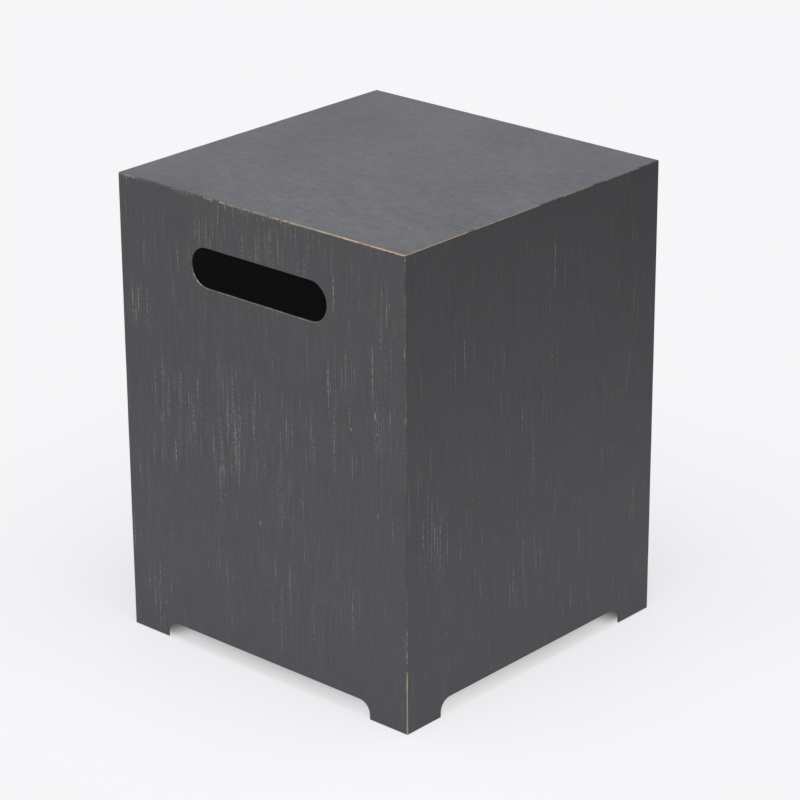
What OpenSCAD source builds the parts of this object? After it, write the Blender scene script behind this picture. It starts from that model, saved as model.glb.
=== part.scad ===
// Square sheet-steel holder that stands over a 20 lb propane tank.
// Five skins are welded to an inner frame of angle bars. The box is open below,
// has a hand slot front and back, and stands on four corner feet.
// Millimetres. Origin on the floor at the middle, +Z up, front face towards -Y.

/* [Body] */
// Outside width, left to right
body_w = 400; // [340:1:480]
// Outside depth, front to back
body_d = 400; // [340:1:480]
// Height from the floor to the top face
body_h = 520; // [440:1:640]
// Thickness of the five skin sheets
sheet_t = 1.5; // [1:0.1:3]
// Radius that the outer edges are ground to
edge_r = 1.2; // [0.4:0.1:2.5]

/* [Hand slots] */
// Length of a hand slot, end to end
slot_l = 190; // [120:1:240]
// Height of a hand slot
slot_h = 44; // [28:1:60]
// From the top face down to the middle of a slot
slot_drop = 77; // [60:1:140]

/* [Feet] */
// Width of a foot, from the outer corner
foot_w = 52; // [44:1:80]
// Height of the cut-out between two feet, above the floor
arch_h = 20; // [16:1:60]
// Radius in the upper corners of the cut-out
arch_r = 14; // [4:1:15]

/* [Angle bars] */
// Width of each leg of the angle bars
bar_w = 20; // [14:1:30]
// Thickness of the angle bars
bar_t = 2; // [1.5:0.1:3]
// Inside radius of the angle bars' bend
bend_in = 1; // [0.5:0.1:2]
// Gap between a top bar's end and the uprights
bar_gap = 0.5; // [0.2:0.1:1]

/* [Top brace] */
// Width of the brace's channel
brace_w = 36; // [20:1:80]
// Depth of the brace below the top sheet
brace_h = 14; // [8:1:20]
// Width of each flange that meets the top sheet
brace_flange = 14; // [8:1:24]
// Thickness of the brace's sheet
brace_t = 1.2; // [0.8:0.1:2]

/* [Foot plates and glides] */
// Side of the square foot plates
plate_w = 32; // [26:1:36]
// Thickness of the foot plates
plate_t = 3; // [2:0.5:5]
// Corner radius of the foot plates
plate_r = 3; // [2.5:0.5:6]
// Diameter of the glides' heads
glide_d = 22; // [16:1:26]
// Height of the glides' heads, from the floor to the foot plate
glide_h = 4; // [3:0.5:8]
// Radius round the sole of a glide
sole_r = 1.5; // [0.5:0.1:2]
// How far the glides stand proud of the skins' lower edges
glide_proud = 1; // [0.5:0.1:2]
// Diameter of the glides' stems
stem_d = 8; // [6:0.5:10]
// Gap round a stem in its foot plate
stem_gap = 0.1; // [0.05:0.05:0.3]
// How far the barb reaches out past the stem
barb_out = 0.6; // [0.3:0.1:1]
// Height of the barb above the foot plate
barb_h = 5; // [3:0.5:8]

/* [Welds] */
// Length of a stitch of weld
stitch_l = 25; // [12:1:40]
// Stitches along each leg of an upright
upright_stitches = 4; // [2:1:6]
// Stitches along each leg of a top bar
bar_stitches = 3; // [2:1:5]
// Leg of the weld beads on the foot plates
plate_bead = 2.5; // [1.5:0.5:4]

/* [Hidden] */
$fn = 48;

paint = "#55555a";
primer = "#8a8a90";
nylon = "#101012";
steel = "#787877";

// The ground radius stays within the sheet that carries it
ground_r = min(edge_r, 0.9 * sheet_t);
// Inner faces of the skins, and the height where the top sheet begins
in_x = body_w / 2 - sheet_t;
in_y = body_d / 2 - sheet_t;
skin_z0 = glide_proud;
skin_z1 = body_h - sheet_t;
slot_z = body_h - slot_drop;
// How far cutting shapes run past the sheet they cut
past = 1;
// Outside radius of the angle bars' bend
bend_r = bar_t + bend_in;
// Middle of a foot plate, from the inner corner of the skins
plate_mid = bar_t + plate_w / 2;
stem_top = glide_h + plate_t + barb_h;

FRONT_LEFT = 0;
FRONT_RIGHT = 1;
BACK_RIGHT = 2;
BACK_LEFT = 3;
CORNERS = [[-1, -1], [1, -1], [1, 1], [-1, 1]];

// Places its children at an inner corner of the skins, with +X and +Y running along the two walls
module at_corner(i) {
    translate([CORNERS[i][0] * in_x, CORNERS[i][1] * in_y, 0])
        rotate([0, 0, 90 * i])
            children();
}

// Turns its children, drawn for the front wall, to wall i: 0 front, 1 right, 2 back, 3 left
module at_wall(i) {
    rotate([0, 0, 90 * i])
        children();
}

// Distance from the middle to the inner face of wall i, and the half length of that wall inside
function wall_y(i) = i % 2 == 0 ? in_y : in_x;
function wall_half(i) = i % 2 == 0 ? in_x : in_y;

// Square with four round corners, its lower left corner at the origin
module round_square(size, r) {
    translate([r, 0])
        square([size[0] - 2 * r, size[1]]);
    translate([0, r])
        square([size[0], size[1] - 2 * r]);
    for (x = [r, size[0] - r], y = [r, size[1] - r])
        translate([x, y])
            circle(r);
}

// Plan of the whole body, with its ground vertical corners
module body_plan() {
    translate([-body_w / 2, -body_d / 2])
        round_square([body_w, body_d], ground_r);
}

// Outline of the cut-out between two feet of a wall that is span wide
module arch_outline(span) {
    w = span - 2 * foot_w;
    translate([-w / 2, -past])
        square([w, arch_h - arch_r + past]);
    translate([-w / 2 + arch_r, -past])
        square([w - 2 * arch_r, arch_h + past]);
    for (s = [-1, 1])
        translate([s * (w / 2 - arch_r), arch_h - arch_r])
            circle(arch_r);
}

// Outline of a hand slot, with half-round ends
module slot_outline() {
    straight = slot_l - slot_h;
    translate([-straight / 2, slot_z - slot_h / 2])
        square([straight, slot_h]);
    for (s = [-1, 1])
        translate([s * straight / 2, slot_z])
            circle(slot_h / 2);
}

// Face of a wall that is span wide: the sheet less its arch, and less a slot if it has one
module wall_face(span, slotted) {
    difference() {
        translate([-span / 2, skin_z0])
            square([span, skin_z1 - skin_z0]);
        arch_outline(span);
        if (slotted)
            slot_outline();
    }
}

// Front or back skin: a flat sheet over the full width, its outer edges ground round
module end_skin(i) {
    color(paint)
        at_wall(i)
            intersection() {
                translate([0, 0, skin_z0])
                    linear_extrude(skin_z1 - skin_z0)
                        body_plan();
                translate([0, -in_y, 0])
                    rotate([90, 0, 0])
                        linear_extrude(sheet_t)
                            wall_face(body_w, true);
            }
}

// Left or right skin: a flat sheet that fits between the front and back skins
module side_skin(i) {
    color(paint)
        at_wall(i)
            translate([0, -in_x, 0])
                rotate([90, 0, 0])
                    linear_extrude(sheet_t)
                        intersection() {
                            wall_face(body_d, false);
                            translate([-in_y, 0])
                                square([2 * in_y, body_h]);
                        }
}

// Block whose upper edges and upright corners are round, its upper face at the top of the body
module round_block() {
    inset_w = body_w - 2 * ground_r;
    inset_d = body_d - 2 * ground_r;
    deep = 2 * sheet_t;
    translate([0, 0, body_h - deep])
        linear_extrude(deep - ground_r)
            body_plan();
    translate([-inset_w / 2, -inset_d / 2, body_h - deep])
        cube([inset_w, inset_d, deep]);
    translate([0, 0, body_h - ground_r])
        for (s = [-1, 1]) {
            translate([-inset_w / 2, s * inset_d / 2, 0])
                rotate([0, 90, 0])
                    cylinder(r = ground_r, h = inset_w);
            translate([s * inset_w / 2, inset_d / 2, 0])
                rotate([90, 0, 0])
                    cylinder(r = ground_r, h = inset_d);
            for (t = [-1, 1])
                translate([s * inset_w / 2, t * inset_d / 2, 0])
                    sphere(ground_r);
        }
}

// Top skin: lies on the four walls, flush with their faces, its upper edges ground round
module top_panel() {
    color(paint)
        intersection() {
            round_block();
            translate([-body_w, -body_d, skin_z1])
                cube([2 * body_w, 2 * body_d, sheet_t + past]);
        }
}

// Section of an angle bar, its outer corner at the origin and its legs along +X and +Y
module bar_section() {
    translate([bend_r, 0])
        square([bar_w - bend_r, bar_t]);
    translate([0, bend_r])
        square([bar_t, bar_w - bend_r]);
    intersection() {
        translate([bend_r, bend_r])
            difference() {
                circle(bend_r);
                circle(bend_r - bar_t);
            }
        square(bend_r);
    }
}

// Upright angle bar in corner i, from the skins' lower edges to the top sheet
module upright(i) {
    color(primer)
        at_corner(i)
            translate([0, 0, skin_z0])
                linear_extrude(skin_z1 - skin_z0)
                    bar_section();
}

// Half the length of the top bar along wall i, which fits between two uprights
function top_bar_half(i) = wall_half(i) - bar_w - bar_gap;

// Angle bar under the top sheet, along wall i
module top_bar(i) {
    half = top_bar_half(i);
    color(primer)
        at_wall(i)
            translate([-half, -wall_y(i), skin_z1])
                rotate([90, 0, 90])
                    linear_extrude(2 * half)
                        rotate(-90)
                            bar_section();
}

// Half the length of the brace, which fits between the left and right top bars
brace_half = in_x - bar_w - bar_gap;

// Channel with two flanges across the middle of the top sheet
module top_brace() {
    color(primer)
        translate([-brace_half, 0, skin_z1])
            rotate([90, 0, 90])
                linear_extrude(2 * brace_half) {
                    translate([-brace_w / 2, -brace_h])
                        square([brace_w, brace_t]);
                    for (s = [0, 1])
                        mirror([s, 0]) {
                            translate([brace_w / 2 - brace_t, -brace_h])
                                square([brace_t, brace_h]);
                            translate([brace_w / 2 - brace_t, -brace_t])
                                square([brace_flange + brace_t, brace_t]);
                        }
                }
}

// Square plate between the legs of upright i, bored for the glide's stem
module foot_plate(i) {
    corner_r = max(plate_r, bend_in);
    color(primer)
        at_corner(i)
            translate([0, 0, glide_h])
                difference() {
                    translate([bar_t, bar_t, 0])
                        linear_extrude(plate_t)
                            round_square([plate_w, plate_w], corner_r);
                    translate([plate_mid, plate_mid, -past])
                        cylinder(d = stem_d + 2 * stem_gap, h = plate_t + 2 * past);
                }
}

// Nylon glide pushed up into foot plate i: round head, stem, and a barb above the plate
module glide(i) {
    head_r = glide_d / 2;
    stem_r = stem_d / 2;
    color(nylon)
        at_corner(i)
            translate([plate_mid, plate_mid, 0])
                rotate_extrude() {
                    square([head_r - sole_r, glide_h]);
                    translate([0, sole_r])
                        square([head_r, glide_h - sole_r]);
                    intersection() {
                        translate([head_r - sole_r, sole_r])
                            circle(sole_r);
                        square([head_r, glide_h]);
                    }
                    square([stem_r, stem_top]);
                    polygon([
                        [0, glide_h + plate_t],
                        [stem_r + barb_out, glide_h + plate_t],
                        [stem_r, stem_top],
                        [0, stem_top],
                    ]);
                }
}

// Stitch of fillet weld along +Z: its two legs lie on the faces that meet at the origin
module stitch(leg, length) {
    translate([0, 0, -length / 2])
        linear_extrude(length)
            polygon([[0, 0], [leg, 0], [0, leg]]);
}

// Middle of stitch k of n, spread evenly between a and b
function stitch_at(k, n, a, b) = a + (b - a) * (k + 0.5) / n;

// Stitches that join both legs of upright i to the skins
module upright_welds(i) {
    low = arch_h + stitch_l;
    high = skin_z1 - bar_w - stitch_l;
    at_corner(i)
        for (k = [0 : upright_stitches - 1])
            translate([0, 0, stitch_at(k, upright_stitches, low, high)]) {
                translate([bar_w, 0, 0])
                    stitch(bar_t, stitch_l);
                translate([0, bar_w, 0])
                    stitch(bar_t, stitch_l);
            }
}

// Stitches that join the top bar of wall i to that wall and to the top sheet
module top_bar_welds(i) {
    half = top_bar_half(i);
    at_wall(i)
        for (k = [0 : bar_stitches - 1])
            translate([stitch_at(k, bar_stitches, -half, half), -wall_y(i), skin_z1])
                rotate([90, 0, 90])
                    rotate(-90) {
                        translate([bar_w, 0, 0])
                            stitch(bar_t, stitch_l);
                        if (clear_of_brace(i, k))
                            translate([0, bar_w, 0])
                                stitch(bar_t, stitch_l);
                    }
}

// The brace's ends meet the left and right top bars, so no stitch lies there
function clear_of_brace(i, k) =
    i % 2 == 0 ||
    abs(stitch_at(k, bar_stitches, -top_bar_half(i), top_bar_half(i)))
        > brace_w / 2 + brace_flange + stitch_l / 2;

// Stitches that join both flanges of the brace to the top sheet
module brace_welds() {
    edge_y = brace_w / 2 + brace_flange;
    for (k = [0 : bar_stitches - 1], s = [0, 1])
        translate([stitch_at(k, bar_stitches, -brace_half, brace_half), 0, skin_z1])
            mirror([0, s, 0])
                translate([0, edge_y, 0])
                    rotate([90, 0, 90])
                        rotate(-90)
                            stitch(brace_t, stitch_l);
}

// Beads along the two edges of foot plate i that lie against the upright
module foot_plate_welds(i) {
    long = plate_w / 2;
    at_corner(i)
        translate([0, 0, glide_h + plate_t]) {
            translate([plate_mid, bar_t, 0])
                rotate([90, 0, 90])
                    stitch(plate_bead, long);
            translate([bar_t, plate_mid, 0])
                rotate([90, 0, 0])
                    stitch(plate_bead, long);
        }
}

// Every weld on the inner frame, as a group of separate beads
module weld_stitches() {
    color(steel) {
        for (i = [0 : 3]) {
            upright_welds(i);
            top_bar_welds(i);
            foot_plate_welds(i);
        }
        brace_welds();
    }
}

top_panel();
end_skin(0);  // front_panel
end_skin(2);  // back_panel
side_skin(3);  // left_panel
side_skin(1);  // right_panel
upright(FRONT_LEFT);  // upright_front_left
upright(FRONT_RIGHT);  // upright_front_right
upright(BACK_RIGHT);  // upright_back_right
upright(BACK_LEFT);  // upright_back_left
top_bar(0);  // top_bar_front
top_bar(1);  // top_bar_right
top_bar(2);  // top_bar_back
top_bar(3);  // top_bar_left
top_brace();
foot_plate(FRONT_LEFT);  // foot_plate_front_left
foot_plate(FRONT_RIGHT);  // foot_plate_front_right
foot_plate(BACK_RIGHT);  // foot_plate_back_right
foot_plate(BACK_LEFT);  // foot_plate_back_left
glide(FRONT_LEFT);  // glide_front_left
glide(FRONT_RIGHT);  // glide_front_right
glide(BACK_RIGHT);  // glide_back_right
glide(BACK_LEFT);  // glide_back_left
weld_stitches();
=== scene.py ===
# %% [markdown]
# # A sheet-steel holder for a propane tank
# The real object is a welded box of thin steel sheet that is lowered over a tank and used as a
# side table. Its frame is already exact in CAD. Here each piece gets the shape that cutting,
# grinding, bending and welding leave behind, and the finish that makes the holder what it is: a
# dark grey paint dragged over bronze with a dry brush.

import math

import bmesh
import bpy
import numpy as np
from mathutils import Matrix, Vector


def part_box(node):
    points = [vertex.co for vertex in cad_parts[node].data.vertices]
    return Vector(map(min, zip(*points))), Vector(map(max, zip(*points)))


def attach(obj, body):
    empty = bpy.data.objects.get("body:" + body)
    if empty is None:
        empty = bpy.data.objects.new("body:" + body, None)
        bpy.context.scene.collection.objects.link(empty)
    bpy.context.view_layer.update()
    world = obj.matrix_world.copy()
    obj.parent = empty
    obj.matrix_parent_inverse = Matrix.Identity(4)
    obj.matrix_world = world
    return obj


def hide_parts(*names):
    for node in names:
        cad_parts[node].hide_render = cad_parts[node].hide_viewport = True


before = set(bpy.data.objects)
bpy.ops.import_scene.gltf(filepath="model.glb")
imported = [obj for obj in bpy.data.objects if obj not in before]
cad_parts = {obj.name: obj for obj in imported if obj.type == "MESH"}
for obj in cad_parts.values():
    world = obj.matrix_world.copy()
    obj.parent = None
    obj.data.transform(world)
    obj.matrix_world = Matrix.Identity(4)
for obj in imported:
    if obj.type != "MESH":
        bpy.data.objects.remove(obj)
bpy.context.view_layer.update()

# %% [markdown]
# ## Sizes
# Everything is in metres. What the CAD pieces can tell is read from them, so a piece made here
# always lands on the piece that it stands for. The few sizes that a box can't show, such as the
# radius of a cut-out, are named once.

# %% Sizes of the holder
MM = 0.001
top_low, top_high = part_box("top_panel")
front_low, front_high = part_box("front_panel")
bar_low, bar_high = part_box("upright_front_left")

HALF_W = top_high.x
HALF_D = top_high.y
HEIGHT = top_high.z
SHEET = top_high.z - top_low.z
IN_X = HALF_W - SHEET
IN_Y = HALF_D - SHEET
SKIN_Z0 = front_low.z
SKIN_Z1 = front_high.z
BAR_W = bar_high.x - bar_low.x

SLOT_L = 190 * MM
SLOT_H = 44 * MM
SLOT_Z = HEIGHT - 77 * MM
FOOT_W = 52 * MM
ARCH_H = 20 * MM
ARCH_R = 14 * MM
print(f"{2 * HALF_W:.3f} x {2 * HALF_D:.3f} x {HEIGHT:.3f} m, sheet {SHEET / MM:.1f} mm")

# %% [markdown]
# ## Meshes from arrays
# A surface here is a grid of points worked out by a formula: one array of shape (rows, columns,
# 3). Several grids that share their border points make one closed skin, once points in the same
# place are merged. The alternative, pushing vertices about one by one, is slow and hard to read.

# %% From grids of points to one closed mesh
MERGE = 2e-6
SHARP = math.radians(38)


def grid_quads(rows, columns):
    """Four corners of every cell: a point, its right neighbour, and the two in the next row."""
    low = np.arange(rows - 1)[:, None] * columns + np.arange(columns - 1)[None, :]
    return np.stack([low, low + 1, low + 1 + columns, low + columns], axis=-1).reshape(-1, 4)


def closed_mesh(name, grids, caps=()):
    """Joins grids of points, and caps of one flat face each, and turns every face outwards."""
    sizes = [grid[..., 0].size for grid in grids]
    starts = np.cumsum([0] + sizes + [len(cap) for cap in caps])
    faces = [quad for grid, start in zip(grids, starts)
             for quad in (grid_quads(*grid.shape[:2]) + start).tolist()]
    faces += [list(range(start, start + len(cap)))
              for cap, start in zip(caps, starts[len(grids):])]
    points = np.concatenate([grid.reshape(-1, 3) for grid in grids] + list(caps))
    mesh = bpy.data.meshes.new(name)
    mesh.from_pydata(points.tolist(), [], faces)

    shape = bmesh.new()
    shape.from_mesh(mesh)
    bmesh.ops.remove_doubles(shape, verts=shape.verts, dist=MERGE)
    bmesh.ops.dissolve_degenerate(shape, edges=shape.edges, dist=MERGE)
    bmesh.ops.recalc_face_normals(shape, faces=shape.faces)
    open_edges = sum(not edge.is_manifold for edge in shape.edges)
    shape.to_mesh(mesh)
    shape.free()
    print(f"{name}: {len(mesh.polygons)} faces, {open_edges} open edges")
    return mesh


# %% [markdown]
# ## One piece for one CAD node
# Each new piece rides on the body of the node that it stands for, and that node is hidden. Smooth
# shading with weighted normals lets the large flat faces keep their own direction, so that a
# narrow rounded edge catches the light alone and doesn't smear over the sheet.

# %% From a mesh to a piece of the holder
def piece_of(mesh, nodes):
    """Shows a mesh in place of CAD nodes, smooth but for its sharp edges."""
    mesh.shade_smooth()
    mesh.set_sharp_from_angle(angle=SHARP)
    piece = bpy.data.objects.new(mesh.name, mesh)
    bpy.context.scene.collection.objects.link(piece)
    weighting = piece.modifiers.new("weighted_normals", "WEIGHTED_NORMAL")
    weighting.keep_sharp = True
    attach(piece, "root")
    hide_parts(*nodes)
    return piece


def quarter_turn(points, turns):
    """Turns points about +Z: each quarter turn takes (x, y) to (-y, x)."""
    x, y, z = np.moveaxis(points, -1, 0)
    for _ in range(turns):
        x, y = -y, x
    return np.stack([x, y, z], axis=-1)


# %% [markdown]
# ## The give in a thin sheet
# A welded sheet is never quite flat: between the bars that hold it, heat leaves shallow dents of a
# few tenths of a millimetre. They show as soft changes in the shine. A product of sines gives
# such a surface, faded out where the frame holds the sheet. It only ever pushes inwards, so the
# box keeps its size.

# %% Dents of a sheet between its bars
DENT = 0.5 * MM
HELD = 24 * MM
FREE = 110 * MM
WAVE_ACROSS = 19.0
WAVE_UP = 14.0


def fade_in(distance):
    """Smooth step from 0 at a held edge to 1 where the sheet is free: 3t^2 - 2t^3."""
    t = np.clip((distance - HELD) / (FREE - HELD), 0, 1)
    return t * t * (3 - 2 * t)


def dents(across, up, turn):
    """Depth of the dents: DENT times half of 1 + sine times sine."""
    waves = np.sin(across * WAVE_ACROSS + turn) * np.sin(up * WAVE_UP + 2 * turn)
    return DENT * (0.5 + 0.5 * waves)


# %% [markdown]
# ## Edges
# A cut edge on the real sheet is deburred: a radius of a few tenths of a millimetre that catches
# the light. The outer edges of the box are welded and then ground by hand, so their radius is
# larger and wanders a little. Either radius follows one rule, in which an angle runs from 0 on
# the face to 90 degrees on the edge.

# %% Quarter rounds
DEBURR = 0.35 * MM
GROUND = 1.2 * MM
WANDER = 0.3 * MM
SLOW_WAVE = 31
QUICK_WAVE = 73
ROUND_STEPS = 4
ROUND = np.linspace(0, math.pi / 2, ROUND_STEPS + 1)


def ground_radius(share, turn):
    """Radius left by hand grinding at a share of the way along an edge.

    The full radius less a slow and a quick wave, which fade out towards the corners by
    sin(pi share).
    """
    wave = (0.5 + 0.3 * np.sin(share * SLOW_WAVE + turn)
            + 0.2 * np.sin(share * QUICK_WAVE + 2 * turn))
    return GROUND - WANDER * wave * np.sin(math.pi * np.clip(share, 0, 1))


def quarter_round(edge, offset, radius):
    """Points and depths from a face's border to its edge, one row for each step of the round.

    A point lies 1 - sin a of its offset from the edge, at a depth of r(1 - cos a).
    """
    angle = ROUND.reshape(-1, *[1] * radius.ndim)
    flat = edge + offset * (1 - np.sin(angle))[..., None]
    return flat, radius * (1 - np.cos(angle))


# %% [markdown]
# ## Walls
# A wall is a rectangle less its cut-out and, front and back, less its hand slot. It could be cut
# by booleans, but these leave long thin faces that shade badly. So grids cover it instead: one
# above the cut-out, one on each foot, and a strip of quarter rounds past every edge. Round a slot
# each line runs from the nearest point of the slot's middle line out to the border, so the lines
# never cross and the slot's round ends are sampled finely.

# %% Grids over a wall
FOOT_COLUMNS = 9
END_COLUMN = 3 * MM
ARCH_COLUMNS = 46
SIDE_ROWS = 64
ARC_ROWS = 9
SOLE_ROWS = 3
RINGS = 34
RING_CROWDING = 1.25
ON_LINE = 1e-7
SLOT_STRAIGHT = (SLOT_L - SLOT_H) / 2


def border(grid):
    """Closed line round a grid: up its right side, back along its last row, down and along."""
    return np.concatenate([grid[:, -1], grid[-1, -2::-1], grid[-2::-1, 0], grid[0, 1:]])


class Wall:
    """One wall of the box in its own plane: across, up, and depth into the sheet."""

    def __init__(self, half, distance, turns, slotted, ground_ends):
        self.half = half
        self.distance = distance
        self.turns = turns
        self.slotted = slotted
        self.ground_ends = ground_ends
        self.arch_half = HALF_W - FOOT_W

    def foot(self, side):
        """Grid over a foot, each row from the cut-out's edge to the wall's end.

        The edge is upright up to the arc's lower end and then R cos a from the arc's centre, at a
        height of R sin a above it.
        """
        centre = ARCH_H - ARCH_R
        angle = np.linspace(0, math.pi / 2, ARC_ROWS + 1)
        low = np.linspace(SKIN_Z0, centre, SOLE_ROWS + 1)[:-1]
        up = np.concatenate([low, centre + ARCH_R * np.sin(angle)])
        inner = np.concatenate([np.ones_like(low), np.cos(angle)])
        start = self.arch_half - ARCH_R + ARCH_R * inner
        share = np.linspace(0, 1, FOOT_COLUMNS + 1)
        across = start[:, None] + share * (self.half - END_COLUMN - start)[:, None]
        across = np.concatenate([across, np.full((len(up), 1), self.half)], axis=1)
        return np.stack([side * across, np.broadcast_to(up[:, None], across.shape)], axis=-1)

    def above(self):
        """Plain grid above the cut-out, its columns those of the feet and of the cut-out's top."""
        right = self.foot(1)[-1, :, 0]
        middle = np.linspace(-right[0], right[0], ARCH_COLUMNS + 1)[1:-1]
        row = np.concatenate([-right[::-1], middle, right])
        return np.stack(np.meshgrid(row, np.linspace(ARCH_H, SKIN_Z1, SIDE_ROWS + 1)), axis=-1)

    def slot_line(self):
        """Line round the slot: R from the nearest point of its middle line, towards each border
        point."""
        line = border(self.above())
        spine = np.stack([np.clip(line[:, 0], -SLOT_STRAIGHT, SLOT_STRAIGHT),
                          np.full(len(line), SLOT_Z)], axis=-1)
        away = line - spine
        return spine + away / np.linalg.norm(away, axis=1, keepdims=True) * SLOT_H / 2

    def outline(self):
        """Closed line round the sheet: right foot, right end, top, left end, left foot, cut-out."""
        right, left, above = self.foot(1), self.foot(-1), self.above()
        arch = above[0, FOOT_COLUMNS + 1:-FOOT_COLUMNS - 1]
        return np.concatenate([
            right[::-1, 0], right[0, 1:], right[1:, -1],
            above[1:, -1], above[-1, -2::-1], above[-2::-1, 0],
            left[-2::-1, -1], left[0, -2::-1], left[1:, 0], arch[1:],
        ])

    def offsets(self, flat, outer):
        """How far each point on an edge is drawn in on a face, and the radius there.

        A sole moves up and a slot's or cut-out's edge away from its rounded core, both by DEBURR.
        A ground end moves in by its own radius, on the outer face alone. The radius is the larger
        of those that meet in a point, and 0 away from the edges.
        """
        x, up = flat[..., 0], flat[..., 1]
        core = [self.arch_half - ARCH_R, ARCH_H - ARCH_R]
        from_arch = np.stack([np.sign(x) * np.maximum(np.abs(x) - core[0], 0),
                              np.maximum(up - core[1], 0)], axis=-1)
        from_spine = np.stack([x - np.clip(x, -SLOT_STRAIGHT, SLOT_STRAIGHT), up - SLOT_Z], axis=-1)
        total = np.zeros_like(flat)
        radius = np.zeros_like(x)
        for vector, reach in ((from_arch, ARCH_R), (from_spine, SLOT_H / 2)):
            on_edge = np.abs(np.linalg.norm(vector, axis=-1) - reach) < ON_LINE
            total += np.where(on_edge, DEBURR / reach, 0)[..., None] * vector
            radius = np.where(on_edge, DEBURR, radius)
        on_sole = up < SKIN_Z0 + ON_LINE
        total[..., 1] += np.where(on_sole, DEBURR, 0)
        radius = np.where(on_sole, DEBURR, radius)
        if self.ground_ends and outer:
            share = (up - SKIN_Z0) / (SKIN_Z1 - SKIN_Z0)
            ground = np.where(np.abs(x) > self.half - ON_LINE, ground_radius(share, self.turns), 0)
            total[..., 0] -= np.sign(x) * ground
            radius = np.maximum(radius, ground)
        return total, radius

    def drawn_in(self, flat, outer):
        """Flat points of a face, with those on its edges drawn in."""
        return flat + self.offsets(flat, outer)[0]

    def face(self, outer):
        """Every grid of one face of the sheet."""
        feet = [self.drawn_in(self.foot(side), outer) for side in (1, -1)]
        above = self.drawn_in(self.above(), outer)
        if not self.slotted:
            return [above, *feet]
        rim = self.drawn_in(self.slot_line(), outer)
        share = np.linspace(0, 1, RINGS + 1)[:, None, None] ** RING_CROWDING
        return [rim + share * (border(above) - rim), *feet]

    def edge_strip(self, line):
        """Strip from the outer face past an edge to the inner face, and its depths."""
        near, near_depth = quarter_round(line, *self.offsets(line, True))
        far, far_depth = quarter_round(line, *self.offsets(line, False))
        depth = np.concatenate([near_depth, SHEET - far_depth[::-1]])
        return np.concatenate([near, far[::-1]]), depth

    def in_space(self, flat, depth):
        """Turns across, up and depth into the row frame, with the sheet's dents."""
        across, up = flat[..., 0], flat[..., 1]
        held = fade_in(self.half - np.abs(across)) * fade_in(SKIN_Z1 - up) * fade_in(up)
        inwards = depth + held * dents(across, up, self.turns)
        return quarter_turn(np.stack([across, inwards - self.distance, up], axis=-1), self.turns)

    def grids(self):
        """Both faces, the strip past the outline and, with a slot, the strip through that."""
        made = [self.in_space(grid, 0.0) for grid in self.face(True)]
        made += [self.in_space(grid, SHEET) for grid in self.face(False)]
        lines = [self.outline()] + [self.slot_line()] * self.slotted
        return made + [self.in_space(*self.edge_strip(line)) for line in lines]


# %% Make the four walls
SIDES = ["front", "right", "back", "left"]
walls = [Wall(HALF_W, HALF_D, 0, True, True), Wall(IN_Y, HALF_W, 1, False, False),
         Wall(HALF_W, HALF_D, 2, True, True), Wall(IN_Y, HALF_W, 3, False, False)]
wall_sheets = [
    piece_of(closed_mesh(f"{side}_sheet", wall.grids()), [f"{side}_panel"])
    for side, wall in zip(SIDES, walls)
]

# %% [markdown]
# ## Top
# The top is a square sheet that lies on the four walls. It could be a cube with a bevel, but a
# ground edge isn't even. So a square grid is carried past its border by the same quarter rounds
# as the walls, and at each corner the border's one corner point fans out over a quarter turn.

# %% Make the top
TOP_CELLS = 64
FAN = 6
BRACE_HALF_W = 32 * MM
TOP_DENTS = 5


def top_lines(square):
    """Line round a square with each corner repeated, the direction outwards and the radius.

    Side k faces a direction of k quarter turns from +X. Between two sides the direction turns in
    FAN steps about their shared corner.
    """
    sides = [square[:, -1], square[-1, ::-1], square[::-1, 0], square[0, :]]
    share = np.linspace(0, 1, TOP_CELLS + 1)
    turning = np.linspace(0, math.pi / 2, FAN + 1)[1:-1]
    angle = np.concatenate([np.append(0 * share, turning) + k * math.pi / 2 for k in range(4)])
    line = np.concatenate([np.append(side, np.repeat(side[-1:], FAN - 1, axis=0), axis=0)
                           for side in sides])
    radius = np.concatenate([np.append(ground_radius(share, k + 0.5), np.full(FAN - 1, GROUND))
                             for k in range(4)])
    outwards = np.stack([np.cos(angle), np.sin(angle)], axis=-1)
    return [np.append(array, array[:1], axis=0) for array in (line, outwards, radius)]


def top_in_space(flat, depth):
    """Turns flat points into the row frame, sunk by their depth and by the sheet's dents."""
    x, y = flat[..., 0], flat[..., 1]
    held = fade_in(HALF_W - np.abs(x)) * fade_in(HALF_D - np.abs(y))
    held = held * fade_in(np.abs(y) - BRACE_HALF_W + HELD)
    return np.stack([x, y, HEIGHT - depth - held * dents(x, y, TOP_DENTS)], axis=-1)


def top_grids():
    """The two faces, and a strip round them: a flat, a quarter round, the edge, and a flat."""
    across = np.linspace(-1, 1, TOP_CELLS + 1) * (HALF_W - GROUND)
    along = np.linspace(-1, 1, TOP_CELLS + 1) * (HALF_D - GROUND)
    square = np.stack(np.meshgrid(across, along), axis=-1)
    line, outwards, radius = top_lines(square)
    edge = line + GROUND * outwards
    near, near_depth = quarter_round(edge, -radius[:, None] * outwards, radius)
    strip = np.concatenate([line[None], near, edge[None], line[None]])
    level = np.zeros((1, len(line)))
    depth = np.concatenate([level, near_depth, level + SHEET, level + SHEET])
    return [top_in_space(square, 0.0), top_in_space(square, SHEET), top_in_space(strip, depth)]


top_sheet = piece_of(closed_mesh("top_sheet", top_grids()), ["top_panel"])

# %% [markdown]
# ## Bars
# The angle bars and the channel under the top are bent from strip. Each is one section carried
# along a straight line: a few square corners, rounded by the radius of the bend or of the file,
# and drawn in again at both ends, where the saw cut is deburred. A bevel modifier would round
# every edge alike, and a bend isn't a bevel.

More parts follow.
